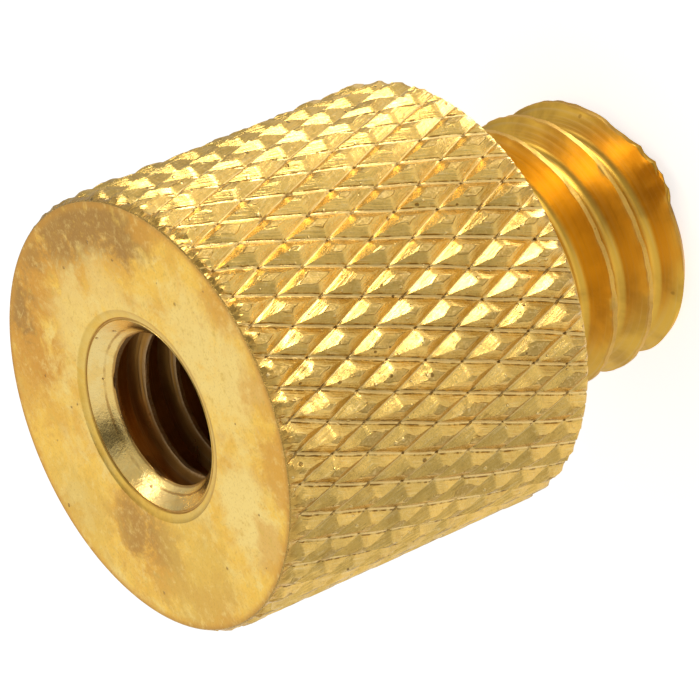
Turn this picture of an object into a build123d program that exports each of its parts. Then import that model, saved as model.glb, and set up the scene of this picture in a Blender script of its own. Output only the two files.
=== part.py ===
from build123d import *
import math
import os

# A brass thread adapter in one piece, standing on the end of its stud with the threaded hole on top.
# The origin is on the axis at the end of the stud, and all sizes are in millimetres and degrees.
# A bearing of -90 is the side that faces -Y.

# Grip: the knurled cylinder
grip_diameter = 15.0  # over the crests of the knurl
grip_length = 12.5
front_chamfer = 0.25  # at the hole end
back_chamfer = 0.15  # at the stud end

# Diamond knurl: two sets of straight grooves, one of each hand, that leave four-sided points
knurl_count = 42  # grooves of each hand
knurl_pitch = 2.8  # from one diamond to the next along the grip
knurl_depth = 0.36
knurl_start = 0.51  # from the hole end to the first ring of crossings
knurl_bearing = -96.2  # of one crossing in that ring
knurl_twist = 0.087  # turn of the diamonds' rows for each millimetre away from the hole end

# Stud: coarse male thread, 3/8 inch with 16 turns to the inch
stud_diameter = 9.35
stud_length = 7.0
stud_pitch = 1.5875
stud_crest = 0.17  # flat left on top of each turn
stud_root_radius = 0.37
stud_root_flats = 3  # that round the groove's bottom
stud_chamfer = 0.45
stud_thread_offset = 1.27  # height of a groove's middle at a bearing of -90
relief_length = 1.6  # plain neck between the thread and the grip
relief_diameter = 7.5

# Hole: blind, drilled for a thread of 1/4 inch and 20 turns to the inch, whose fine grooves aren't cut
hole_diameter = 5.2  # over the crests of its thread
hole_depth = 10.4  # straight part of the drilling
drill_angle = 118.0
countersink_diameter = 6.5
countersink_angle = 90.0
lip_diameter = 7.2  # shallow ring rolled around the countersink
lip_depth = 0.1

thread_angle = 60.0
front = -90.0  # bearing from which the stud's thread is measured
cut_margin = 0.08  # how far a cutter stands clear of the surface that it cuts

grip_radius = grip_diameter / 2
stud_radius = stud_diameter / 2
hole_radius = hole_diameter / 2
top = stud_length + grip_length
flank = math.tan(math.radians(thread_angle / 2))


# A point of the knurl: rings lie half a pitch apart, and in each of them crossings and points take turns
def knurl_vertex(step, ring):
    is_point = (step + ring) % 2
    radius = grip_radius if is_point else grip_radius - knurl_depth
    drop = ring * knurl_pitch / 2
    angle = math.radians(knurl_bearing + 180 * step / knurl_count + knurl_twist * drop)
    height = top - knurl_start - drop
    return Vector(radius * math.cos(angle), radius * math.sin(angle), height)


def facet(*corners):
    return Face(Wire.make_polygon(corners, close=True))


# Two triangles between two rings, parted by the groove that crosses from one to the other
def knurl_cell(step, ring):
    a = knurl_vertex(step, ring)
    b = knurl_vertex(step + 1, ring)
    c = knurl_vertex(step + 1, ring + 1)
    d = knurl_vertex(step, ring + 1)
    if (step + ring) % 2:
        return [facet(a, b, d), facet(b, c, d)]
    return [facet(a, b, c), facet(a, c, d)]


# A knurled bar, a little longer than the grip at both ends
def knurled_bar():
    steps = range(2 * knurl_count)
    first = -math.ceil(2 * knurl_start / knurl_pitch)
    last = math.ceil(2 * (grip_length - knurl_start) / knurl_pitch) + 1
    faces = [facet(*[knurl_vertex(step, ring) for step in steps]) for ring in (first, last)]
    for ring in range(first, last):
        for step in steps:
            faces += knurl_cell(step, ring)
    return Solid(Shell(faces))


knurled = knurled_bar()

# Cutter for the male thread: a V swept from below the end up into the relief, its tip rounded by flats
with BuildPart() as stud_groove:
    start = stud_thread_offset - (math.ceil(stud_thread_offset / stud_pitch) + 1) * stud_pitch
    outer = stud_radius + cut_margin
    half_width = (stud_pitch - stud_crest) / 2 + cut_margin * flank
    tip_centre = outer - half_width / flank + stud_root_radius / math.sin(math.radians(thread_angle / 2))
    root_points = []
    for step in range(stud_root_flats + 1):
        angle = math.radians((180 - thread_angle) * (step / stud_root_flats - 0.5))
        out = tip_centre - stud_root_radius * math.cos(angle)
        root_points.append((out, start + stud_root_radius * math.sin(angle)))
    with BuildLine() as stud_helix:
        Helix(stud_pitch, stud_length - relief_length / 2 - start, stud_radius, center=(0, 0, start))
    with BuildSketch(Plane.XZ):
        with BuildLine():
            Polyline((outer, start - half_width), *root_points, (outer, start + half_width), close=True)
        make_face()
    sweep(path=stud_helix.line, is_frenet=True)

# The thread is cut in a plain bar, which is then turned down to the stud's end and relief
with BuildPart() as stud:
    with BuildSketch(Plane.XY.offset(-stud_pitch)):
        Circle(stud_radius)
    extrude(amount=stud_length + stud_pitch)
    add(stud_groove.part, rotation=(0, 0, front), mode=Mode.SUBTRACT)
    with BuildSketch(Plane.XZ):
        with BuildLine():
            Polyline(
                (0, 0),
                (stud_radius - stud_chamfer, 0),
                (stud_radius + stud_pitch, stud_chamfer + stud_pitch),
                (stud_radius + stud_pitch, stud_length - relief_length),
                (relief_diameter / 2, stud_length - relief_length),
                (relief_diameter / 2, stud_length),
                (0, stud_length),
                close=True,
            )
        make_face()
    revolve(axis=Axis.Z, mode=Mode.INTERSECT)

# Everything that the drill and the countersink take out of the grip
with BuildPart() as hole:
    with BuildSketch(Plane.XZ):
        with BuildLine():
            Polyline(
                (0, top - hole_depth - hole_radius / math.tan(math.radians(drill_angle / 2))),
                (hole_radius, top - hole_depth),
                (hole_radius, top + cut_margin),
                (0, top + cut_margin),
                close=True,
            )
        make_face()
    revolve(axis=Axis.Z)
    with BuildSketch(Plane.XZ):
        with BuildLine():
            mouth = countersink_diameter / 2
            Polyline(
                (0, top - lip_depth - mouth / math.tan(math.radians(countersink_angle / 2))),
                (mouth, top - lip_depth),
                (lip_diameter / 2, top),
                (lip_diameter / 2, top + cut_margin),
                (0, top + cut_margin),
                close=True,
            )
        make_face()
    revolve(axis=Axis.Z)

# The grip takes its ends and chamfers from a turned blank, then gains the stud and the hole
with BuildPart() as adapter:
    add(knurled)
    with BuildSketch(Plane.XZ):
        with BuildLine():
            Polyline(
                (0, stud_length),
                (grip_radius - back_chamfer, stud_length),
                (grip_radius + cut_margin, stud_length + back_chamfer + cut_margin),
                (grip_radius + cut_margin, top - front_chamfer - cut_margin),
                (grip_radius - front_chamfer, top),
                (0, top),
                close=True,
            )
        make_face()
    revolve(axis=Axis.Z, mode=Mode.INTERSECT)
    add(stud.part)
    add(hole.part, mode=Mode.SUBTRACT)

adapter.part.label = "adapter"

os.makedirs("parts", exist_ok=True)
export_step(adapter.part, "parts/adapter.step")
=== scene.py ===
import math
import bpy
import numpy as np
from mathutils import Matrix, Vector


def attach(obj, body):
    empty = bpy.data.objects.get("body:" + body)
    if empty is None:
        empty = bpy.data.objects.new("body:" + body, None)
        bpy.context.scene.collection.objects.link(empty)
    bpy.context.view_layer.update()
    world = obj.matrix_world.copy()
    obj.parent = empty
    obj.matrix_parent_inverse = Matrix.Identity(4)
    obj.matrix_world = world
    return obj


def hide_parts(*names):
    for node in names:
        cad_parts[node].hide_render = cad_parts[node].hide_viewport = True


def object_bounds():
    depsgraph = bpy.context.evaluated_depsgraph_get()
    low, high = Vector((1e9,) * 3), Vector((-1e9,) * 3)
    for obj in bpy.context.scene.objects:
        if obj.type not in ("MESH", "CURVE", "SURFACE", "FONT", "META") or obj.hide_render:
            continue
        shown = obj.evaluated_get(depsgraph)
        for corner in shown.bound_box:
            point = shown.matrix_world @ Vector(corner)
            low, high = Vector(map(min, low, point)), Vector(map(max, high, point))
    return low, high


# Brass thread adapter that stands on the end of its stud. Shapes are worked out in millimetres
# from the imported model's box and put into the mesh in metres.
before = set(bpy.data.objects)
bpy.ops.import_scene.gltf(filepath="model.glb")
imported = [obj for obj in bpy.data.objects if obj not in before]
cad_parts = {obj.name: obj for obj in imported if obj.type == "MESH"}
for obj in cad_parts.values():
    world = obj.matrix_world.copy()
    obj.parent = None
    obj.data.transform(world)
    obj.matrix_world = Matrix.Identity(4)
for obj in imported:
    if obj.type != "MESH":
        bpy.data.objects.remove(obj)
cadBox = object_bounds()
scene = bpy.context.scene
mm = 0.001
topZ = cadBox[1][2] / mm        # plane of the hole's end
endZ = cadBox[0][2] / mm        # plane of the stud's end
print("frame: part stands", round(topZ - endZ, 2), "mm high")


# Sum of sines in random directions, each about one length long: it has no seam, and its spread is about 1
def ripple(points, length, seed, waves=28):
    rng = np.random.default_rng(seed)
    way = rng.normal(size=(waves, 3))
    way *= (2 * np.pi / length * rng.uniform(0.6, 1.5, waves) / np.linalg.norm(way, axis=1))[:, None]
    shift = rng.uniform(0, 2 * np.pi, waves)
    total = np.zeros(points.shape[:-1])
    for k in range(waves):
        total += np.sin(points @ way[k] + shift[k])
    return total * math.sqrt(2 / waves)


# 0 below low, 1 above high, and an even S-curve between them
def smoothStep(value, low, high):
    t = np.clip((value - low) / (high - low), 0, 1)
    return t * t * (3 - 2 * t)


# Points at a radius and height on the bearings given in radians
def onCylinder(radius, bearing, height):
    radius, bearing, height = np.broadcast_arrays(radius, bearing, height)
    return np.stack((radius * np.cos(bearing), radius * np.sin(bearing), height), axis=-1)


grip = {
    "radius": 7.5,            # over the points of the knurl
    "length": 12.5,
    "count": 42,              # grooves of each hand
    "pitch": 2.8,             # from one diamond to the next along the grip
    "depth": 0.4,
    "cap": 0.75,              # share of the depth at which the points are cut off
    "capSpread": 0.05,
    "capRange": (0.5, 0.95),
    "tornShare": 0.2,         # of the points, which are cut off lower
    "tornCap": (0.5, 0.65),
    "tilt": 0.1,              # spread of the slope of the cut-off tops
    "flatness": 0.88,         # 1 cuts the points off flat
    "topUneven": 0.04,        # of the cut-off tops
    "capHeight": 0.8,         # share of the depth that reaches the full radius
    "start": 0.51,            # from the hole end to the first ring of crossings
    "bearing": -96.2,         # of one crossing in that ring
    "twist": 0.087,           # turn of the diamonds' rows for each millimetre away from the hole end
    "fineness": 9,            # grid steps from a crossing to the next point
    "bottomFlat": 0.035,      # half width of a groove's flat bottom, in half normal pitches
    "faceRadius": 7.27,       # of the end face, inside the crushed rim
    "crushed": 0.34,          # length of grip that is crushed beside the face
    "crushedUneven": (0.045, 0.02),   # broad and fine
    "rimUneven": 0.03,        # of the face's edge
    "backChamfer": 0.28,
    "wornSide": -150.0,       # bearing on which the grooves break through the face's edge
    "smoothSide": 177.0,      # bearing on which the points are worn to one level
    "smoothed": 0.09,         # depth of that level
    "crossingPit": 0.12,      # share of the depth by which crossings are deeper
    "crossingReach": 0.16,    # how far from a crossing that goes, in half normal pitches
    "uneven": (0.014, 0.006), # of the grooves' depth and of their faces
    "battered": (0.8, 3.4),   # distance from the hole end over which dents fade out
    "dents": (0.03, 0.02),    # broad and fine
    "wander": 0.015,          # how far the grooves stray from true
}
shoulderZ = topZ - grip["length"]


# Knurl: radius = root + depth * distance to the nearest groove of either hand, which makes four-sided
# points. Each point is cut off at its own height and tilt. Beside the end face the grooves are crushed
# shut, and the radius is the least of the knurl, a rim that widens away from the face, and the chamfer.
def gripRows(g):
    rng = np.random.default_rng(11)
    fine, half = g["fineness"], g["pitch"] / 2
    steps = 2 * g["count"]
    first = -g["start"] / half
    last = (g["length"] - g["start"]) / half
    inner = np.arange(math.ceil(first * fine + 0.4), math.floor(last * fine - 0.3) + 1) / fine
    v = np.concatenate(([first + 0.035 / half], inner, [last]))
    u = np.arange(steps * fine) / fine
    u, v = np.meshgrid(u, v)
    bearing = np.radians(g["bearing"] + 180 + 180 * u / g["count"] + g["twist"] * half * v)
    z = topZ - g["start"] - v * half
    p, q = u - v, u + v
    toP = np.abs((p + 1) % 2 - 1)
    toQ = np.abs((q + 1) % 2 - 1)
    raw = np.minimum(toP, toQ)
    rise = np.clip(raw - g["bottomFlat"], 0, None) / (1 - g["bottomFlat"])
    # own height and tilt of each point
    oddP, oddQ = 2 * np.floor(p / 2) + 1, 2 * np.floor(q / 2) + 1
    pointStep, pointRing = (oddP + oddQ) / 2, (oddQ - oddP) / 2
    si, ri = (pointStep % steps).astype(int), (pointRing + 2).astype(int)
    shape = (steps, 16)
    cap = np.clip(rng.normal(g["cap"], g["capSpread"], shape), *g["capRange"])
    torn = rng.random(shape) < g["tornShare"]
    cap = np.where(torn, rng.uniform(*g["tornCap"], shape), cap)
    tiltU, tiltV = rng.normal(0, g["tilt"], (2, *shape))
    lid = cap[si, ri] + (u - pointStep) * tiltU[si, ri] + (v - pointRing) * tiltV[si, ri]
    place = onCylinder(g["radius"], bearing, z)
    over = rise - lid + g["topUneven"] * ripple(place, 0.4, 21)
    rise = np.where(over > 0, rise - g["flatness"] * over, rise)
    # grooves vary in depth and their faces are uneven
    deep, rough = g["uneven"]
    rise = rise + deep * ripple(place, 2.6, 22) * (1 - raw) + rough * ripple(place, 0.5, 23)
    rise = rise - g["crossingPit"] * (1 - smoothStep(np.maximum(toP, toQ), 0.0, g["crossingReach"]))
    battered = 1 - smoothStep(topZ - z, *g["battered"])
    broad, small = g["dents"]
    rise = rise + battered * (broad * ripple(place, 0.6, 29) + small * ripple(place, 0.25, 30))
    radius = g["radius"] - g["depth"] * (g["capHeight"] - np.clip(rise, -0.3, 1.0))
    level = smoothStep(np.cos(bearing - math.radians(g["smoothSide"])), 0.9, 0.98)
    radius = np.minimum(radius, g["radius"] - g["smoothed"] * level)
    # crushed rim beside the end face
    depthIn = topZ - z
    near = 1 - smoothStep(depthIn, 0.12, g["crushed"] + 0.3)
    inside = smoothStep(depthIn, 0.05, 0.25)
    worst = smoothStep(np.cos(bearing - math.radians(g["wornSide"])), 0.55, 0.95)
    radius += near * (0.95 - 0.3 * inside - 0.35 * worst) * (g["radius"] - 0.12 - radius)
    broad, small = g["crushedUneven"]
    radius += near * inside * (broad * ripple(place, 0.55, 24) + small * ripple(place, 0.22, 25))
    wobble = g["rimUneven"] * ripple(place, 0.9, 26) - 0.05 * (1 - raw)
    rim = g["faceRadius"] + depthIn * 0.9 + near * inside * wobble
    radius = np.minimum(np.minimum(radius, rim), g["faceRadius"] + 0.1 + 0.25 * depthIn)
    radius = np.minimum(radius, g["radius"] - g["backChamfer"] + (z - shoulderZ))
    # the wander leaves the two end rows where they are
    hold = smoothStep(depthIn, 0.0, 0.6) * smoothStep(z - shoulderZ, 0.0, 0.6)
    bearing = bearing + g["wander"] / g["radius"] * ripple(place, 3.4, 27)
    z = z + g["wander"] * hold * ripple(place, 3.1, 28)
    return onCylinder(np.minimum(radius, g["radius"] - 0.004), bearing, z), u, v, over


mouth = {
    "coneDepth": 0.75,        # from the hole end to the cone's foot
    # radius and depth: countersink, ditch at its edge, shallow ring around it and flat face
    "profile": (
        (2.64, 0.71), (2.68, 0.69), (2.85, 0.5), (3.05, 0.3), (3.235, 0.115),
        (3.265, 0.14), (3.31, 0.145), (3.35, 0.09), (3.46, 0.07), (3.585, 0.035), (3.63, 0.0),
        (3.7, 0.0), (3.85, 0.0), (4.15, 0.0), (4.7, 0.0), (5.4, 0.0), (6.2, 0.0),
    ),
    "evenRing": 6.75,         # radius of the first ring with as many corners as the knurl
    "rimWidth": 0.045,        # strip of face between that ring's patch and the rim
}

bore = {
    "radius": 2.6,            # over the crests
    "groove": 3.175,          # radius at the bottom of the groove
    "grooveFlat": 0.46,
    "pitch": 1.27,
    "offset": 0.67,           # from the hole end to a groove's middle at a bearing of -90
    "threadDepth": 9.0,
    "runIn": 0.5,             # length over which the groove deepens below the cone
    "runOut": (0.6, 0.7),     # and over which it fades out, below and above the thread's end
    "worn": 0.012,            # unevenness of the crest
    "depth": 10.4,
    "drillAngle": 118,
    "drillRings": (0.0, 0.33, 0.66),   # shares of the radius
    "columns": 189,
}

stud = {
    "radius": 4.675,
    "pitch": 1.5875,
    "crest": 0.17,
    "rootRadius": 0.37,
    "offset": 1.27,           # height of a groove's middle at a bearing of -90
    "chamfer": 0.45,
    "worn": (0.012, 0.018, 0.012),     # how far the crest is down, and its broad and fine unevenness
    "neckLength": 1.6,
    "neckRadius": 3.75,
    "neckFillet": 0.12,
    "shoulderRings": (6.2, 5.2, 4.3),
    "shoulderRing": 6.8,      # radius of the last ring with as many corners as the knurl
    "endRings": (3.2, 1.6, 0.0),
    "burr": 0.26,             # height of the torn crest beside the stud's end
    "burrBearing": -76.0,
    "burrReach": (19, 5),     # degrees to each side at which it starts and is whole
    "burrRange": (0.06, 0.3, 0.6, 0.9),     # heights where it starts, is whole, fades and ends
    "columns": 126,
}
halfAngle = math.radians(30)    # between the flank of a thread and the plane across the axis
thread = {"flank": math.tan(halfAngle), "seam": 90.0}


# Grid whose rows climb with the thread: height = middle of a groove on that bearing + place in the turn,
# held between the two ends. Rows ascend, and after the last column row k goes on as row k + turn.
def helixRows(t, places, low, high, middle, radiusOf):
    seam = thread["seam"]
    share = np.arange(t["columns"]) / t["columns"]
    groove = middle + t["pitch"] * ((seam + 90) / 360 + share)
    groove = groove - t["pitch"] * math.ceil((groove[0] - low) / t["pitch"] + 1.5)
    turns = math.ceil((high - groove[0]) / t["pitch"] + 1.5)
    along = (np.arange(turns)[:, None] * t["pitch"] + np.asarray(places)).ravel()
    z = np.clip(groove + along[:, None], low, high)
    s = (z - groove + t["pitch"] / 2) % t["pitch"] - t["pitch"] / 2
    bearing = np.radians(seam + 360 * share) + 0 * z
    radius, mark = radiusOf(s, z, bearing)
    return onCylinder(radius, bearing, z), mark, len(places)


# Female thread: radius = the wider of the crest and the V of the groove, which fades out at both ends
def boreRadius(s, z, bearing):
    b = bore
    place = onCylinder(b["radius"], bearing, z)
    threadEnd, (below, above) = topZ - b["threadDepth"], b["runOut"]
    whole = smoothStep(z, threadEnd - below, threadEnd + above)
    whole = whole * smoothStep(topZ - z, mouth["coneDepth"], mouth["coneDepth"] + b["runIn"])
    groove = b["groove"] - np.clip(np.abs(s) - b["grooveFlat"] / 2, 0, None) / thread["flank"]
    groove = b["radius"] + (groove - b["radius"]) * whole
    worn = b["worn"] * ripple(place, 0.9, 41)
    mark = groove < b["radius"] + 0.03
    return np.maximum(b["radius"] + worn, groove), mark.astype(float)


# Male thread: radius = the least of the crest, the V with a round bottom and the end's chamfer, plus
# the burr on its last turn
def studRadius(s, z, bearing):
    t = stud
    place = onCylinder(t["radius"], bearing, z)
    halfWidth = (t["pitch"] - t["crest"]) / 2
    root = t["rootRadius"]
    centre = t["radius"] - halfWidth / thread["flank"] + root / math.sin(halfAngle)
    touch = root * math.cos(halfAngle)
    a = np.abs(s)
    bottom = centre - np.sqrt(np.clip(root ** 2 - a ** 2, 0, None))
    side = centre - root / 2 + (a - touch) / thread["flank"]
    groove = np.where(a < touch, bottom, side)
    low, broad, small = t["worn"]
    crest = t["radius"] - low + broad * ripple(place, 0.8, 51) + small * ripple(place, 0.25, 52)
    radius = np.minimum(np.minimum(groove, crest), t["radius"] - 0.003)
    cone = t["radius"] - t["chamfer"] + (z - endZ)
    mark = smoothStep(groove - crest, -0.05, 0.02) * (cone > radius)
    # torn burr where the thread runs out
    near = np.cos(bearing - math.radians(t["burrBearing"]))
    burr = smoothStep(near, *(math.cos(math.radians(a)) for a in t["burrReach"]))
    start, whole, fading, end = t["burrRange"]
    burr = burr * smoothStep(z - endZ, start, whole) * (1 - smoothStep(z - endZ, fading, end))
    burr = t["burr"] * burr * np.clip(0.8 + 0.45 * ripple(place, 0.4, 53), 0.15, 1.4)
    return np.minimum(radius, cone) + burr, mark * (1 - np.clip(burr * 12, 0, 1))


# The whole surface, gathered row by row: corners, triangles, and what each corner or triangle carries
skin = {"points": [], "faces": [], "finish": [], "uv": [], "mark": [], "count": 0}


def addRows(points, u=0.0, v=0.0, mark=0.0):
    shape = points.shape[:-1]
    index = skin["count"] + np.arange(int(np.prod(shape))).reshape(shape)
    skin["points"].append(points.reshape(-1, 3))
    skin["uv"].append(np.stack([np.broadcast_to(a, shape).ravel() for a in (u, v)], axis=1))
    skin["mark"].append(np.broadcast_to(mark, shape).ravel())
    skin["count"] += index.size
    return index


def addFaces(corners, finish):
    skin["faces"].append(np.concatenate([np.stack(c, axis=-1).reshape(-1, 3) for c in corners]))
    skin["finish"].append(np.concatenate([np.broadcast_to(finish, c[0].shape).ravel() for c in corners]))


# Two triangles for each square between neighbouring rows. Rows run from the hole's bottom out over
# the grip to the stud's end, and slant says which diagonal parts each square.
def joinRows(rows, finish, slant=None, nextColumn=None):
    a, d = rows[:-1], rows[1:]
    if nextColumn is None:
        nextColumn = np.roll(rows, -1, axis=1)
    b, c = nextColumn[:-1], nextColumn[1:]
    if slant is None:
        addFaces(((a, d, c), (a, c, b)), finish)
        return
    a, b, c, d = (k.ravel() for k in (a, b, c, d))
    even = slant.ravel()
    addFaces((
        (a[even], d[even], c[even]), (a[even], c[even], b[even]),
        (a[~even], d[~even], b[~even]), (b[~even], d[~even], c[~even]),
    ), finish)


# Joins a ring to one with a whole number of times fewer corners: each coarse corner fans out to
# the fine ones near it
def joinRings(fine, coarse, finish, fineFirst):
    k = len(fine) // len(coarse)
    half = k // 2
    offset = np.arange(-half, k - half)
    base = (np.arange(len(coarse)) * k)[:, None]
    near, after = fine[(base + offset) % len(fine)], fine[(base + offset + 1) % len(fine)]
    hub = np.broadcast_to(coarse[:, None], near.shape)
    middle = fine[(base[:, 0] + k - half) % len(fine)]
    onward = np.roll(coarse, -1)
    if fineFirst:
        addFaces(((near, hub, after), ), finish)
        addFaces(((middle, coarse, onward), ), finish)
    else:
        addFaces(((hub, near, after), ), finish)
        addFaces(((coarse, middle, onward), ), finish)


def ring(radius, z, columns):
    bearing = np.radians(thread["seam"] + 360 * np.arange(columns) / columns)
    return onCylinder(radius, bearing, z)[None]


# What follows each corner around a helix: the next column, and after the last one the next turn
def nextTurn(wall, turn):
    later = np.minimum(np.arange(len(wall)) + turn, len(wall) - 1)
    return np.concatenate((wall[:, 1:], wall[later, :1]), axis=1)


faceFinish, gripFinish, studFinish, boreFinish = 0, 1, 2, 3


def buildSkin():
    fineCount = 2 * grip["count"] * grip["fineness"]
    # hole, from its bottom up to the countersink
    b = bore
    pitch, flat = b["pitch"], b["grooveFlat"] / 2
    wide = flat + (b["groove"] - b["radius"]) * thread["flank"]
    places = (-wide, -wide * 0.6, -flat, flat, wide * 0.6, wide,
              wide + 0.04, pitch / 2, pitch - wide - 0.04)
    low, high = topZ - b["depth"], topZ - mouth["coneDepth"]
    points, mark, turn = helixRows(b, places, low, high, topZ - b["offset"], boreRadius)
    tip = low - b["radius"] / math.tan(math.radians(b["drillAngle"] / 2))
    drill = [ring(b["radius"] * share, tip + (low - tip) * share, b["columns"])
             for share in b["drillRings"]]
    rows = addRows(np.concatenate(drill))
    wall = addRows(points, mark=mark)
    joinRows(np.concatenate((rows, wall[:1])), boreFinish)
    joinRows(wall, boreFinish, nextColumn=nextTurn(wall, turn))
    # countersink, shallow ring and end face, out to the rim
    rows = addRows(np.concatenate([ring(r, topZ - depth, b["columns"]) for r, depth in mouth["profile"]]))
    joinRows(np.concatenate((wall[-1:], rows)), faceFinish)
    gripPoints, u, v, over = gripRows(grip)
    rimBearing = np.arctan2(gripPoints[0, :, 1], gripPoints[0, :, 0])
    rimRadius = np.hypot(gripPoints[0, :, 0], gripPoints[0, :, 1])
    even = np.radians(thread["seam"] + 360 * np.arange(fineCount) / fineCount)
    fineRing = addRows(onCylinder(mouth["evenRing"], even, topZ)[None])
    joinRings(fineRing[0], rows[-1], faceFinish, False)
    # the rows of the grip start on other bearings, so even rings are turned to the nearest column
    starts = np.degrees(np.arctan2(gripPoints[[0, -1], 0, 1], gripPoints[[0, -1], 0, 0]))
    shift, lowShift = np.round((thread["seam"] - starts) / 360 * fineCount).astype(int) % fineCount
    rim = addRows(onCylinder(rimRadius - mouth["rimWidth"], rimBearing, topZ)[None])
    body = addRows(gripPoints, u=u, v=v, mark=over)
    joinRows(np.concatenate((np.roll(fineRing, shift, axis=1), rim)), faceFinish)
    joinRows(np.concatenate((rim, body[:1])), gripFinish)
    uMid = u[:-1] + 0.5 / grip["fineness"]
    vMid = (v[:-1] + v[1:]) / 2
    slant = (np.floor(uMid) + np.floor(vMid)).astype(int) % 2 == 0
    joinRows(body, gripFinish, slant=slant)
    # shoulder and neck
    t = stud
    outer = addRows(onCylinder(t["shoulderRing"], even, shoulderZ)[None])
    joinRows(np.concatenate((body[-1:], np.roll(outer, lowShift, axis=1))), faceFinish)
    threadTop = shoulderZ - t["neckLength"]
    neck, fillet = t["neckRadius"], t["neckFillet"]
    profile = [(r, shoulderZ) for r in t["shoulderRings"]]
    profile += [(neck + fillet, shoulderZ), (neck + fillet / 4, shoulderZ - fillet / 3)]
    profile += [(neck, shoulderZ - fillet * 7 / 6), (neck, (shoulderZ + threadTop) / 2), (neck, threadTop)]
    rows = addRows(np.concatenate([ring(r, z, t["columns"]) for r, z in profile]))
    joinRings(outer[0], rows[0], faceFinish, True)
    joinRows(rows, studFinish)
    # stud, down to the middle of its end
    touch = t["rootRadius"] * math.cos(halfAngle)
    wide = (t["pitch"] - t["crest"]) / 2
    bottom = touch * np.sin(np.radians(np.linspace(-90, 90, 9)))
    side = np.linspace(touch, wide, 5)[1:]
    crest = [wide + 0.03, t["pitch"] / 2, t["pitch"] - wide - 0.03]
    places = np.concatenate((-side[::-1], bottom, side, crest))
    points, mark, turn = helixRows(t, places, endZ, threadTop, endZ + t["offset"], studRadius)
    wall = addRows(points, mark=mark)
    joinRows(np.concatenate((rows[-1:], wall[-1:])), studFinish)
    joinRows(wall[::-1], studFinish, nextColumn=nextTurn(wall, turn)[::-1])
    disc = addRows(np.concatenate([ring(r, endZ, t["columns"]) for r in t["endRings"]]))
    joinRows(np.concatenate((wall[:1], disc)), studFinish)


# Welds corners that share a place, drops triangles that have shrunk to a line, and makes the object
def makeSkin(name, materials):
    points, faces = np.concatenate(skin["points"]), np.concatenate(skin["faces"])
    finish, uv, mark = (np.concatenate(skin[part]) for part in ("finish", "uv", "mark"))
    u = uv[faces, 0]
    period = 2 * grip["count"]
    u = np.where((np.ptp(u, axis=1) > period / 2)[:, None] & (u < period / 2), u + period, u)
    cornerUv = np.stack((u, uv[faces, 1]), axis=-1)
    first, weld = np.unique(np.round(points, 5), axis=0, return_index=True, return_inverse=True)[1:]
    faces, points, mark = weld.ravel()[faces], points[first], mark[first]
    whole = (faces[:, 0] != faces[:, 1]) & (faces[:, 1] != faces[:, 2]) & (faces[:, 2] != faces[:, 0])
    faces, finish, cornerUv = faces[whole], finish[whole], cornerUv[whole]
    mesh = bpy.data.meshes.new(name)
    mesh.vertices.add(len(points))
    mesh.vertices.foreach_set("co", (points * mm).astype(np.float32).ravel())
    mesh.loops.add(faces.size)
    mesh.loops.foreach_set("vertex_index", faces.astype(np.int32).ravel())
    mesh.polygons.add(len(faces))
    mesh.polygons.foreach_set("loop_start", np.arange(0, faces.size, 3, dtype=np.int32))
    for material in materials:
        mesh.materials.append(material)
    mesh.polygons.foreach_set("material_index", finish.astype(np.int32))
    mesh.update(calc_edges=True)
    mesh.polygons.foreach_set("use_smooth", np.ones(len(faces), bool))
    mesh.set_sharp_from_angle(angle=math.radians(28))
    mesh.uv_layers.new(name="lattice").uv.foreach_set("vector", cornerUv.astype(np.float32).ravel())
    mesh.attributes.new("mark", "FLOAT", "POINT").data.foreach_set("value", mark.astype(np.float32))
    mesh.validate()
    piece = bpy.data.objects.new(name, mesh)
    scene.collection.objects.link(piece)
    return piece


# Adds a shader node; an input that is given a socket is linked, and any other is set
def put(tree, kind, inputs=None, **settings):
    node = tree.nodes.new("ShaderNode" + kind)
    for key, value in settings.items():
        setattr(node, key, value)
    for key, value in (inputs or {}).items():
        if isinstance(value, bpy.types.NodeSocket):
            tree.links.new(value, node.inputs[key])
        else:
            node.inputs[key].default_value = value
    return node


# One step of arithmetic on numbers or sockets
def calc(tree, operation, *values, clamp=False):
    return put(tree, "Math", dict(enumerate(values)), operation=operation, use_clamp=clamp).outputs[0]


def plus(tree, a, b):
    return calc(tree, "ADD", a, b)


def minus(tree, a, b):
    return calc(tree, "SUBTRACT", a, b)


def times(tree, a, b):
    return calc(tree, "MULTIPLY", a, b)


# S-curve from start to end while the value goes from low to high
def fade(tree, value, low, high, start=0.0, end=1.0):
    inputs = {"Value": value, "From Min": low, "From Max": high, "To Min": start, "To Max": end}
    return put(tree, "MapRange", inputs, interpolation_type="SMOOTHSTEP").outputs[0]


# How far a noise is from its middle, times gain
def swing(tree, noise, gain):
    return times(tree, minus(tree, noise, 0.5), gain)


# Colour between a and b, which is b where share is 1
def blendColor(tree, share, a, b):
    a, b = ((*c, 1) if isinstance(c, tuple) else c for c in (a, b))
    return put(tree, "Mix", {0: share, 6: a, 7: b}, data_type="RGBA").outputs[2]


def vector(tree, x=0.0, y=0.0, z=0.0):
    return put(tree, "CombineXYZ", {0: x, 1: y, 2: z}).outputs[0]


# Length of a vector, or distance or dot product of two
def measure(tree, operation, *vectors):
    return put(tree, "VectorMath", dict(enumerate(vectors)), operation=operation).outputs["Value"]


# Distance from the part's axis
def fromAxis(tree, x, y):
    return calc(tree, "SQRT", plus(tree, times(tree, x, x), times(tree, y, y)))


# Fractal noise around 0.5 whose blotches are about one length across
def cloud(tree, where, length, detail=4.0, rough=0.55, distort=0.0):
    scale = calc(tree, "DIVIDE", 1.0, length) if isinstance(length, bpy.types.NodeSocket) else 1 / length
    inputs = {"Vector": where, "Scale": scale, "Detail": detail, "Roughness": rough, "Distortion": distort}
    return put(tree, "TexNoise", inputs).outputs["Fac"]


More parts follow.
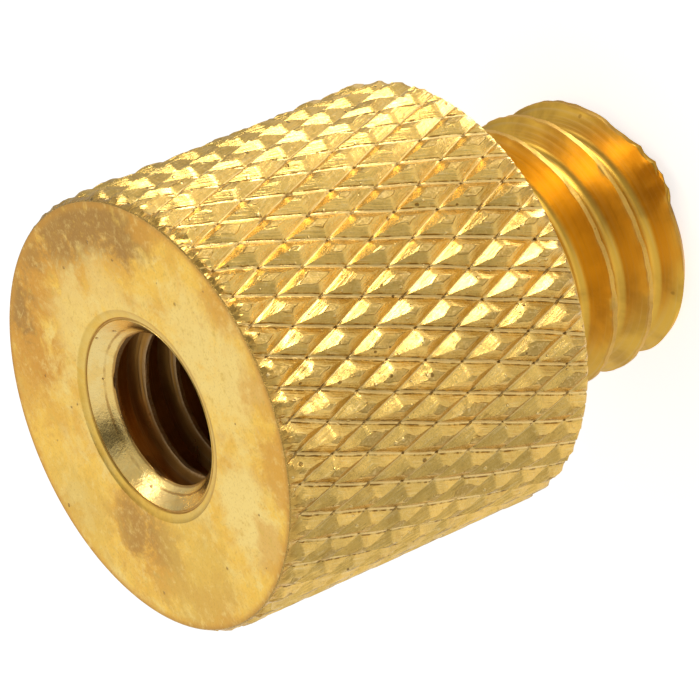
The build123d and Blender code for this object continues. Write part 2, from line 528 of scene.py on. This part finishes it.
# Starts a node group; an input without a default is a vector, and the rest are numbers
def startGroup(name, inputs, outputs):
    tree = bpy.data.node_groups.new(name, "ShaderNodeTree")
    for label, value in inputs.items():
        kind = "NodeSocketVector" if value is None else "NodeSocketFloat"
        socket = tree.interface.new_socket(label, in_out="INPUT", socket_type=kind)
        if value is not None:
            socket.default_value = value
    for label in outputs:
        tree.interface.new_socket(label, in_out="OUTPUT", socket_type="NodeSocketFloat")
    return tree, tree.nodes.new("NodeGroupInput").outputs, tree.nodes.new("NodeGroupOutput").inputs


def useGroup(tree, group, output, **inputs):
    node = tree.nodes.new("ShaderNodeGroup")
    node.node_tree = group
    for key, value in inputs.items():
        if isinstance(value, bpy.types.NodeSocket):
            tree.links.new(value, node.inputs[key])
        else:
            node.inputs[key].default_value = value
    return node.outputs[output]


# Ragged blotches: 1 where the noise is above Level
def makeBlotches():
    inputs = {"Where": None, "Length": 1.0, "Level": 0.5, "Edge": 0.06}
    tree, given, result = startGroup("blotches", inputs, ["Mask"])
    noise = cloud(tree, given["Where"], given["Length"], 6.0, 0.62, 0.4)
    low = minus(tree, given["Level"], given["Edge"])
    high = plus(tree, given["Level"], given["Edge"])
    tree.links.new(fade(tree, noise, low, high), result["Mask"])
    return tree


# Round specks of random size: 1 in the middle of those cells whose random number is under Share
def makeSpecks():
    inputs = {"Where": None, "Length": 0.3, "Share": 0.2, "Size": 0.3}
    tree, given, result = startGroup("specks", inputs, ["Mask"])
    scale = calc(tree, "DIVIDE", 1.0, given["Length"])
    bend = cloud(tree, given["Where"], 0.12, 2.0)
    shift = vector(tree, times(tree, bend, 0.06), times(tree, bend, -0.05))
    moved = put(tree, "VectorMath", {0: given["Where"], 1: shift}, operation="ADD").outputs[0]
    cells = put(tree, "TexVoronoi", {"Vector": moved, "Scale": scale})
    pick = put(tree, "SeparateXYZ", {0: cells.outputs["Color"]}).outputs
    chosen = calc(tree, "LESS_THAN", pick[0], given["Share"])
    size = times(tree, given["Size"], plus(tree, 0.4, pick[1]))
    spot = fade(tree, cells.outputs["Distance"], times(tree, size, 0.5), size, 1.0, 0.0)
    tree.links.new(times(tree, spot, chosen), result["Mask"])
    return tree


# Streaks along a thread: noise read at the place in the thread's turn, which comes from height and
# bearing, at the distance from the axis, and slowly on around the part
def makeStreaks():
    tree, given, result = startGroup("thread streaks", {"Where": None, "Pitch": 1.0}, ["Mask"])
    x, y, z = put(tree, "SeparateXYZ", {0: given["Where"]}).outputs[:3]
    bearing = calc(tree, "DIVIDE", calc(tree, "ARCTAN2", y, x), 2 * math.pi)
    climb = minus(tree, calc(tree, "DIVIDE", z, given["Pitch"]), bearing)
    radius = fromAxis(tree, x, y)
    turn = calc(tree, "PINGPONG", times(tree, bearing, 7.0), 3.5)
    around = times(tree, climb, 2 * math.pi)
    place = plus(tree, times(tree, radius, 9.0), turn)
    out = times(tree, calc(tree, "COSINE", around), 3.5)
    up = times(tree, calc(tree, "SINE", around), 3.5)
    tree.links.new(cloud(tree, vector(tree, out, up, place), 1.0, 3.0, 0.6), result["Mask"])
    return tree


blotches, specks, streaks = makeBlotches(), makeSpecks(), makeStreaks()


# Starts a metal material and hands back its tree, shader, and the place on the object in millimetres
def startMetal(name):
    mat = bpy.data.materials.new(name)
    mat.use_nodes = True
    tree = mat.node_tree
    shader = tree.nodes["Principled BSDF"]
    shader.inputs["Metallic"].default_value = 1
    metres = put(tree, "TexCoord").outputs["Object"]
    where = put(tree, "Mapping", {"Vector": metres, "Scale": (1 / mm, 1 / mm, 1 / mm)})
    return mat, tree, shader, where.outputs[0]


def finishMetal(tree, shader, color, roughness, height, look):
    tree.links.new(color, shader.inputs["Base Color"])
    tree.links.new(roughness, shader.inputs["Roughness"])
    reach = look["bumpReach"] * mm
    bump = put(tree, "Bump", {"Height": height, "Strength": look["bump"], "Distance": reach})
    tree.links.new(bump.outputs[0], shader.inputs["Normal"])


faced = {
    "straw": (0.99, 0.62, 0.1),
    "cream": (1.0, 0.74, 0.235),
    "pale": (1.0, 0.82, 0.46),
    "golden": (0.96, 0.57, 0.08),
    "orange": (0.75, 0.37, 0.052),
    "brown": (0.46, 0.24, 0.052),
    "olive": (0.78, 0.50, 0.095),
    # painted shade where the countersink meets the thread
    "throatShade": (0.40, 0.20, 0.045),   # where the countersink meets the thread
    "roughness": 0.36,
    "coneRoughness": 0.24,
    "bump": 0.8,
    "bumpReach": 0.04,               # height in millimetres of the finest unevenness
    "ragged": 2.6,                   # how ragged the stains' edges are
    # stains: x, y and reach in millimetres, strength, colour
    "stains": (
        (5.6, 0.6, 2.6, 0.8, "orange"),
        (5.4, -1.6, 2.0, 0.7, "orange"),
        (5.9, 3.4, 2.9, 1.0, "orange"),
        (4.6, 5.1, 2.9, 1.0, "orange"),
        (2.6, 6.2, 2.0, 0.6, "orange"),
        (6.9, 0.5, 1.8, 0.9, "brown"),
        (6.8, -0.8, 1.8, 0.9, "brown"),
        (6.3, -2.2, 1.7, 0.95, "brown"),
        (5.6, -3.4, 1.5, 0.8, "brown"),
        (5.3, 4.9, 1.5, 0.9, "brown"),
        (6.5, 2.9, 1.2, 0.7, "brown"),
        (-3.2, 3.3, 1.9, 0.8, "orange"),
        (-4.6, 2.4, 1.9, 0.8, "orange"),
        (-3.2, 3.2, 1.4, 0.7, "brown"),
        (-4.2, 2.2, 1.2, 0.6, "brown"),
        (-3.8, -3.5, 1.6, 1.0, "cream"),
        (-4.9, -3.3, 1.5, 1.0, "cream"),
        (0.0, -5.3, 2.0, 0.8, "cream"),
        (2.0, -4.6, 1.9, 0.7, "cream"),
        (3.9, 1.5, 1.9, 0.7, "cream"),
        (4.3, -0.6, 1.6, 0.6, "cream"),
        (5.7, -4.6, 1.4, 0.8, "orange"),
        (2.4, -6.7, 1.5, 0.7, "orange"),
        (-0.8, -6.9, 1.4, 0.6, "orange"),
        (-3.3, -6.3, 1.8, 0.8, "orange"),
        (-5.9, -3.9, 1.6, 0.6, "orange"),
        (-6.9, 0.6, 1.9, 0.7, "orange"),
        (-5.6, 1.0, 2.9, 0.6, "olive"),
        (-2.0, 5.8, 2.3, 0.5, "olive"),
    ),
}


# Satin brass of both flat ends: straw with cream and orange clouds, soft stains, fine grain and scratches,
# a darker line at the rim, painted shade beside the countersink and at its foot, and faint rings from the
# lathe
def facedBrass(look):
    mat, tree, shader, where = startMetal("faced brass")
    x, y = put(tree, "SeparateXYZ", {0: where}).outputs[:2]
    radius = fromAxis(tree, x, y)
    wide = cloud(tree, where, 2.6, 5.0, 0.6, 0.5)
    fine = cloud(tree, where, 0.35, 5.0, 0.7)
    grain = cloud(tree, where, 0.08, 3.0, 0.6)
    mottle = cloud(tree, where, 0.9, 6.0, 0.7, 0.3)
    color = blendColor(tree, fade(tree, wide, 0.42, 0.66), look["straw"], look["cream"])
    color = blendColor(tree, fade(tree, mottle, 0.5, 0.6, 0.0, 0.65), color, look["golden"])
    color = blendColor(tree, fade(tree, mottle, 0.46, 0.38, 0.0, 0.7), color, look["cream"])
    blotch = useGroup(tree, blotches, "Mask", Where=where, Length=1.5, Level=0.56, Edge=0.1)
    color = blendColor(tree, times(tree, blotch, 0.4), color, look["orange"])
    edge = swing(tree, cloud(tree, where, 1.1, 7.0, 0.72, 0.4), look["ragged"])
    for sx, sy, reach, strength, tint in look["stains"]:
        away = measure(tree, "DISTANCE", where, (sx, sy, topZ))
        near = minus(tree, 1.0, calc(tree, "DIVIDE", away, reach))
        share = fade(tree, plus(tree, near, edge), -0.02, 0.62, 0.0, strength)
        color = blendColor(tree, share, color, look[tint])
    rim = fade(tree, plus(tree, radius, times(tree, edge, 0.15)), 6.9, 7.3, 0.0, 0.8)
    color = blendColor(tree, rim, color, look["orange"])
    color = blendColor(tree, fade(tree, radius, 7.08, 7.26, 0.0, 0.55), color, look["brown"])
    pit = useGroup(tree, specks, "Mask", Where=where, Length=0.42, Share=0.12, Size=0.15)
    color = blendColor(tree, times(tree, pit, 0.75), color, look["brown"])
    color = blendColor(tree, fade(tree, fine, 0.5, 0.75, 0.0, 0.6), color, look["cream"])
    color = blendColor(tree, fade(tree, fine, 0.46, 0.28, 0.0, 0.7), color, look["olive"])
    color = blendColor(tree, fade(tree, grain, 0.48, 0.28, 0.0, 0.25), color, look["brown"])
    # scratches in two directions
    scratch = None
    for turn, seed in ((0.5, 3.0), (1.9, 8.0)):
        side, front = math.cos(turn), math.sin(turn)
        across = plus(tree, times(tree, x, 11 * side), times(tree, y, 11 * front))
        along = minus(tree, times(tree, y, 0.9 * side), times(tree, x, 0.9 * front))
        line = fade(tree, cloud(tree, vector(tree, across, along, seed), 1.0, 2.0, 0.6), 0.7, 0.78)
        scratch = line if scratch is None else calc(tree, "MAXIMUM", scratch, line)
    color = blendColor(tree, times(tree, scratch, 0.4), color, look["cream"])
    # shallow ring around the countersink, olive, with painted shade in the ditch at its foot
    band = times(tree, fade(tree, radius, 3.24, 3.3), fade(tree, radius, 3.57, 3.65, 1.0, 0.0))
    color = blendColor(tree, times(tree, band, 0.5), color, look["olive"])
    footShade = fade(tree, calc(tree, "ABSOLUTE", minus(tree, radius, 3.29)), 0.02, 0.065, 0.9, 0.0)
    footShade = times(tree, footShade, fade(tree, fine, 0.25, 0.55, 0.45, 1.0))
    color = blendColor(tree, footShade, color, look["brown"])
    color = blendColor(tree, fade(tree, radius, 3.26, 3.2, 0.0, 0.3), color, look["pale"])
    # a stained line around the countersink, and painted shade at its foot where it meets the thread
    line = minus(tree, plus(tree, radius, times(tree, fine, 0.1)), 2.89)
    line = fade(tree, calc(tree, "ABSOLUTE", line), 0.01, 0.045, 0.8, 0.0)
    color = blendColor(tree, times(tree, line, fade(tree, wide, 0.4, 0.55)), color, look["brown"])
    footShade = fade(tree, plus(tree, radius, times(tree, fine, 0.06)), 2.67, 2.73, 0.8, 0.0)
    color = blendColor(tree, footShade, color, look["throatShade"])
    around = vector(tree, radius, times(tree, x, 0.06), times(tree, y, 0.06))
    rings = cloud(tree, around, 0.09, 2.0)
    rough = fade(tree, radius, 3.2, 3.3, look["coneRoughness"], look["roughness"])
    rough = plus(tree, rough, swing(tree, wide, 0.3))
    height = plus(tree, times(tree, fine, 0.5), times(tree, rings, 0.15))
    height = plus(tree, height, times(tree, grain, 0.12))
    height = minus(tree, height, plus(tree, pit, times(tree, scratch, 0.08)))
    finishMetal(tree, shader, color, rough, height, look)
    return mat


knurled = {
    "gold": (0.87, 0.56, 0.14),
    "pale": (0.88, 0.66, 0.28),
    "olive": (0.66, 0.435, 0.11),
    "orange": (0.60, 0.355, 0.078),
    "brown": (0.50, 0.33, 0.09),
    "dark": (0.19, 0.095, 0.018),
    "roughness": 0.2,
    "topRoughness": 0.5,
    "bump": 0.7,
    "bumpReach": 0.035,
}


# Knurled brass, drawn on the lattice: p and q count half pitches across the grooves of either hand.
# Faces are scored along their own groove, groove bottoms carry a painted pale sheen, and pits where
# grooves cross are darkened as painted shade.
def knurledBrass(look):
    mat, tree, shader, where = startMetal("knurled brass")
    lattice = put(tree, "UVMap", uv_map="lattice").outputs[0]
    u, v = put(tree, "SeparateXYZ", {0: lattice}).outputs[:2]
    p, q = minus(tree, u, v), plus(tree, u, v)
    toP, toQ = (calc(tree, "PINGPONG", k, 1.0) for k in (p, q))
    raw = calc(tree, "MINIMUM", toP, toQ)
    cross = calc(tree, "MAXIMUM", toP, toQ)
    besideP = calc(tree, "LESS_THAN", toP, toQ)
    lid = put(tree, "Attribute", attribute_name="mark").outputs["Fac"]
    alongP = vector(tree, times(tree, p, 9.0), times(tree, q, 0.7))
    alongQ = vector(tree, times(tree, q, 9.0), times(tree, p, 0.7), 5.0)
    along = put(tree, "Mix", {0: besideP, 4: alongQ, 5: alongP}, data_type="VECTOR").outputs[1]
    score = cloud(tree, along, 1.0, 3.0, 0.6)
    wide = cloud(tree, where, 1.9, 4.0, 0.6, 0.3)
    fine = cloud(tree, where, 0.16, 4.0, 0.7, 0.5)
    torn = cloud(tree, where, 0.45, 4.0, 0.65, 0.5)
    grain = cloud(tree, where, 0.075, 3.0, 0.6)
    top = fade(tree, lid, -0.02, 0.05)
    color = blendColor(tree, fade(tree, wide, 0.35, 0.65), look["gold"], look["olive"])
    color = blendColor(tree, times(tree, top, fade(tree, torn, 0.3, 0.7)), color, look["olive"])
    worn = times(tree, top, fade(tree, wide, 0.42, 0.6, 0.4, 0.75))
    color = blendColor(tree, worn, color, look["brown"])
    color = blendColor(tree, fade(tree, torn, 0.52, 0.66, 0.0, 0.55), color, look["orange"])
    color = blendColor(tree, fade(tree, score, 0.5, 0.78, 0.0, 0.7), color, look["pale"])
    color = blendColor(tree, fade(tree, fine, 0.56, 0.75, 0.0, 0.6), color, look["pale"])
    color = blendColor(tree, fade(tree, score, 0.42, 0.2, 0.0, 0.6), color, look["dark"])
    color = blendColor(tree, fade(tree, fine, 0.44, 0.28, 0.0, 0.6), color, look["brown"])
    matt = plus(tree, 0.3, times(tree, top, 0.7))
    low, high = fade(tree, grain, 0.49, 0.32, 0.0, 0.85), fade(tree, grain, 0.53, 0.7, 0.0, 0.75)
    color = blendColor(tree, times(tree, matt, low), color, look["brown"])
    color = blendColor(tree, times(tree, matt, high), color, look["pale"])
    # painted sheen: groove bottoms are paler, standing in for the light they catch, and a wider pale sheen
    # runs along one hand of grooves
    bottom = fade(tree, raw, 0.03, 0.075, 1.0, 0.0)
    color = blendColor(tree, times(tree, bottom, 0.65), color, look["pale"])
    softSheen = fade(tree, plus(tree, toQ, times(tree, torn, 0.08)), 0.08, 0.19, 0.6, 0.0)
    color = blendColor(tree, softSheen, color, look["pale"])
    # darkening: dark cracks around the cut-off tops and slits beside crossings, a painted shadow line
    # beside one hand of grooves, and painted shade in the pits where grooves cross
    crack = fade(tree, calc(tree, "ABSOLUTE", lid), 0.0, 0.05, 1.0, 0.0)
    crack = times(tree, crack, fade(tree, torn, 0.58, 0.68, 0.0, 0.7))
    shade = fade(tree, calc(tree, "ABSOLUTE", minus(tree, raw, 0.125)), 0.0, 0.065, 1.0, 0.0)
    shade = times(tree, shade, minus(tree, 1.0, besideP))
    shade = times(tree, shade, fade(tree, torn, 0.42, 0.6, 0.2, 1.0))
    hollowShade = fade(tree, plus(tree, cross, swing(tree, torn, 0.45)), 0.0, 0.07, 1.0, 0.0)
    slit = times(tree, fade(tree, toP, 0.04, 0.11, 1.0, 0.0), fade(tree, toQ, 0.2, 0.45, 1.0, 0.0))
    slit = times(tree, slit, fade(tree, torn, 0.46, 0.56))
    crack = calc(tree, "MAXIMUM", crack, times(tree, slit, 0.75))
    cracksAndShade = calc(tree, "MAXIMUM", calc(tree, "MAXIMUM", crack, shade), hollowShade, clamp=True)
    color = blendColor(tree, times(tree, cracksAndShade, 0.95), color, look["dark"])
    # crushed strip beside the hole's end: orange-brown, with bright flecks
    depthIn = minus(tree, topZ, put(tree, "SeparateXYZ", {0: where}).outputs[2])
    strip = fade(tree, plus(tree, depthIn, times(tree, torn, 0.3)), 0.3, 0.62, 1.0, 0.0)
    strip = times(tree, strip, fade(tree, fine, 0.3, 0.6, 0.35, 0.95))
    color = blendColor(tree, strip, color, look["orange"])
    fleck = useGroup(tree, specks, "Mask", Where=where, Length=0.32, Share=0.3, Size=0.2)
    bright = times(tree, fleck, fade(tree, depthIn, 0.3, 0.7, 0.95, 0.65))
    color = blendColor(tree, bright, color, look["pale"])
    pit = useGroup(tree, specks, "Mask", Where=where, Length=0.47, Share=0.22, Size=0.16)
    color = blendColor(tree, times(tree, pit, 0.8), color, look["dark"])
    rougher = look["topRoughness"] - look["roughness"]
    rough = plus(tree, look["roughness"], times(tree, top, rougher))
    rough = plus(tree, rough, fade(tree, fine, 0.4, 0.8, 0.0, 0.2))
    rough = plus(tree, rough, times(tree, bottom, 0.22))
    height = times(tree, score, plus(tree, 0.8, times(tree, top, 1.2)))
    height = plus(tree, height, times(tree, fine, plus(tree, 0.25, times(tree, top, 0.6))))
    height = minus(tree, plus(tree, height, times(tree, fleck, 0.8)), times(tree, cracksAndShade, 0.6))
    height = plus(tree, height, times(tree, times(tree, grain, matt), times(tree, matt, 0.5)))
    height = minus(tree, height, pit)
    finishMetal(tree, shader, color, rough, height, look)
    return mat


turned = {
    "amber": (0.79, 0.47, 0.066),
    "pale": (0.72, 0.48, 0.15),
    "brown": (0.40, 0.21, 0.035),
    "streak": 0.5,        # share of pale in the streaks
    "crest": 0.5,         # share of pale on the crests
    "crestEdge": (0.5, 0.95),
    "roughness": 0.36,
    "bump": 0.5,
    "bumpReach": 0.02,
}


# Brass cut by a thread tool: streaks run along the thread, and the crests are rough and pale
def threadedBrass(name, look, pitch):
    mat, tree, shader, where = startMetal(name)
    streak = useGroup(tree, streaks, "Mask", Where=where, Pitch=pitch)
    wide = cloud(tree, where, 2.2, 4.0, 0.6, 0.4)
    fine = cloud(tree, where, 0.14, 4.0, 0.7, 0.4)
    crest = fade(tree, put(tree, "Attribute", attribute_name="mark").outputs["Fac"], *look["crestEdge"])
    color = blendColor(tree, fade(tree, wide, 0.4, 0.7, 0.0, 0.6), look["amber"], look["brown"])
    color = blendColor(tree, fade(tree, streak, 0.5, 0.75, 0.0, look["streak"]), color, look["pale"])
    color = blendColor(tree, fade(tree, streak, 0.44, 0.2, 0.0, 0.5), color, look["brown"])
    chips = times(tree, crest, fade(tree, fine, 0.3, 0.6, 0.35, 1.0))
    color = blendColor(tree, times(tree, chips, look["crest"]), color, look["pale"])
    pit = useGroup(tree, specks, "Mask", Where=where, Length=0.6, Share=0.12, Size=0.16)
    color = blendColor(tree, times(tree, pit, 0.7), color, look["brown"])
    rough = plus(tree, look["roughness"], times(tree, crest, 0.18))
    rough = plus(tree, rough, swing(tree, wide, 0.2))
    height = times(tree, fine, plus(tree, 0.15, times(tree, crest, 0.7)))
    height = plus(tree, times(tree, streak, 0.5), height)
    finishMetal(tree, shader, color, rough, height, look)
    return mat


# bore: the same brass as the stud, darker as painted shade inside the hole
dullAndShaded = {
    "amber": (0.50, 0.25, 0.055),
    "pale": (0.72, 0.50, 0.25),
    "brown": (0.30, 0.13, 0.026),
    "streak": 0.35,
    "crest": 0.85,
    "crestEdge": (0.72, 0.97),
    "roughness": 0.3,
    "bump": 0.5,
    "bumpReach": 0.02,
}

# The whole part is one brass, and its four finishes differ in how they were cut and are stained; the
# bore's darker colours are painted shade inside the hole
materials = [
    facedBrass(faced),
    knurledBrass(knurled),
    threadedBrass("stud brass", turned, stud["pitch"]),
    threadedBrass("bore brass painted shade", dullAndShaded, bore["pitch"]),
]
print("finishes:", ", ".join(material.name for material in materials))
buildSkin()
adapter = makeSkin("brass_adapter", materials)
print("skin:", len(adapter.data.polygons), "triangles")
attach(adapter, "root")
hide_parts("adapter")


studio = {
    "cameraAt": (0.0, -0.16348, 0.11902),
    "cameraRight": (-0.38862, -0.50792, -0.76876),
    "cameraUp": (0.92139, -0.21157, -0.32599),
    "lens": 307.35,
    "floorHalf": 0.6,
    "floorPaint": (0.8, 0.8, 0.8, 1.0),
    "surround": 1.0,      # strength of the white that metal mirrors
    # patches of other strength in that white: direction, inner and outer angle, strength
    "skyPatches": (
        ((0.34, 0.05, 0.94), 9.0, 27.0, 0.4),
        ((0.64, 0.77, 0.05), 12.0, 34.0, 0.5),
        ((0.045, -0.513, 0.857), 9.0, 21.0, 0.02),
        ((0.0, 0.81, 0.59), 12.0, 30.0, 1.18),
        ((0.852, -0.397, 0.342), 12.0, 38.0, 0.4),
        ((0.243, -0.908, 0.342), 12.0, 38.0, 0.5),
    ),
    "fill": 0.55,         # strength of the same white as a light on matt surfaces
    "cameraGlow": 0.72,   # what the floor adds to its own white for the camera
    "floorGlow": 0.66,    # the same in metal
    # metal sees the floor darker within wedges that open away from the part:
    # bearing, outer and inner half angle, distances in metres at which it starts and is full, glow there
    "wedges": (
        (-128.0, 40.0, 15.0, 0.018, 0.03, 0.2),
        (40.0, 75.0, 45.0, 0.012, 0.02, 0.14),
        (-45.0, 80.0, 45.0, 0.0135, 0.0095, 0.12),
    ),
    # and within streaks: middle, bearing, half length and half width, glow
    "streaks": (
        ((0.0015, -0.0085, 0.0), -52.0, (0.0065, 0.003, 1.0), 0.2),
        ((-0.0108, 0.018, 0.0), 98.0, (0.019, 0.007, 1.0), 0.02),
    ),
}

# place, point that it shines at, size along and across, power: a bright strip low in front and to the
# side, a light on the countersink, and a small strip under the grip's edge
lamps = {
    "low strip": ((0.050, -0.0335, 0.0003), (0.050, -0.0335, 0.1), (0.05, 0.028), 0.045),
    "mouth light": ((0.322, 0.028, 0.254), (0.0, 0.0, 0.019), (0.05, 0.05), 0.11),
    "stud strip": ((0.0065, -0.0064, 0.0003), (0.0065, -0.0064, 0.1), (0.004, 0.006), 0.00045),
}


def addCamera(look):
    right, up = Vector(look["cameraRight"]).normalized(), Vector(look["cameraUp"])
    back = right.cross(up).normalized()
    up = back.cross(right)
    data = bpy.data.cameras.new("camera")
    data.lens = look["lens"]
    data.sensor_width = 36
    data.clip_start, data.clip_end = 0.01, 10
    cam = bpy.data.objects.new("camera", data)
    turn = Matrix((right, up, back)).transposed().to_4x4()
    cam.matrix_world = Matrix.Translation(look["cameraAt"]) @ turn
    scene.collection.objects.link(cam)
    scene.camera = cam


def addLamp(name, at, aim, size, power):
    data = bpy.data.lights.new(name, "AREA")
    data.shape, data.size, data.size_y = "RECTANGLE", *size
    data.energy = power
    lamp = bpy.data.objects.new(name, data)
    lamp.location = at
    lamp.rotation_euler = (Vector(aim) - Vector(at)).to_track_quat("-Z", "Y").to_euler()
    lamp.visible_camera = False
    scene.collection.objects.link(lamp)


def mixShaders(tree, share, a, b):
    return put(tree, "MixShader", {0: share, 1: a, 2: b}).outputs[0]


# Two masks: 1 where metal looks, and 1 where metal or the camera looks
def whoLooks(tree):
    ray = put(tree, "LightPath").outputs
    metal = ray["Is Glossy Ray"]
    return metal, calc(tree, "MAXIMUM", ray["Is Camera Ray"], metal)


# The surround: metal and the camera see a white with darker patches, and everything else an even fill
def makeWorld(look):
    world = bpy.data.worlds.new("surround")
    world.use_nodes = True
    tree = world.node_tree
    tree.nodes.clear()
    seen = whoLooks(tree)[1]
    way = put(tree, "TexCoord").outputs["Generated"]
    level = look["surround"]
    for aim, narrow, wide, patch in look["skyPatches"]:
        aim = tuple(Vector(aim).normalized())
        narrow, wide = math.cos(math.radians(narrow)), math.cos(math.radians(wide))
        lined = measure(tree, "DOT_PRODUCT", way, aim)
        level = times(tree, level, fade(tree, lined, wide, narrow, 1.0, patch))
    fill = put(tree, "Background", {"Strength": look["fill"]}).outputs[0]
    white = put(tree, "Background", {"Strength": level}).outputs[0]
    put(tree, "OutputWorld", {"Surface": mixShaders(tree, seen, fill, white)})
    world.cycles.sampling_method = "NONE"     # an even surround needs no aimed samples
    scene.world = world


# The floor's brightness in metal: its glow, darker in the wedges and in the streaks
def floorInMetal(tree, look):
    where = put(tree, "TexCoord").outputs["Object"]
    way = put(tree, "VectorMath", {0: where}, operation="NORMALIZE").outputs[0]
    reach = measure(tree, "LENGTH", where)
    level = look["floorGlow"]
    for aim, wide, narrow, start, full, glow in look["wedges"]:
        aim = math.radians(aim)
        wide, narrow = math.cos(math.radians(wide)), math.cos(math.radians(narrow))
        lined = measure(tree, "DOT_PRODUCT", way, (math.cos(aim), math.sin(aim), 0))
        wedge = times(tree, fade(tree, lined, wide, narrow), fade(tree, reach, start, full))
        level = put(tree, "Mix", {0: wedge, 2: level, 3: glow}).outputs[0]
    for middle, bearing, size, glow in look["streaks"]:
        turn = (0, 0, math.radians(bearing))
        placed = {"Vector": where, "Location": middle, "Rotation": turn, "Scale": size}
        inside = put(tree, "Mapping", placed, vector_type="TEXTURE").outputs[0]
        streak = fade(tree, measure(tree, "LENGTH", inside), 0.45, 1.0, 1.0, 0.0)
        level = put(tree, "Mix", {0: streak, 2: level, 3: glow}).outputs[0]
    return level


# A plain pale floor that keeps the part's shadow: only the camera and metal see its glow
def makeFloor(look):
    half, z = look["floorHalf"], cadBox[0][2]
    corners = [(-half, -half, z), (half, -half, z), (half, half, z), (-half, half, z)]
    mesh = bpy.data.meshes.new("floor")
    mesh.from_pydata(corners, [], [(0, 1, 2, 3)])
    floor = bpy.data.objects.new("floor", mesh)
    scene.collection.objects.link(floor)
    mat = bpy.data.materials.new("floor white")
    mat.use_nodes = True
    tree = mat.node_tree
    tree.nodes.clear()
    metal, seen = whoLooks(tree)
    paint = put(tree, "BsdfDiffuse", {"Color": look["floorPaint"]}).outputs[0]
    level = put(tree, "Mix", {0: metal, 2: look["cameraGlow"], 3: floorInMetal(tree, look)}).outputs[0]
    glow = put(tree, "Emission", {"Strength": level}).outputs[0]
    both = put(tree, "AddShader", {0: paint, 1: glow}).outputs[0]
    put(tree, "OutputMaterial", {"Surface": mixShaders(tree, seen, paint, both)})
    mesh.materials.append(mat)


addCamera(studio)
makeWorld(studio)
makeFloor(studio)
for name, values in lamps.items():
    addLamp(name, *values)
print("studio: camera, surround, floor and", len(lamps), "lamps")
scene.view_settings.view_transform = "Standard"
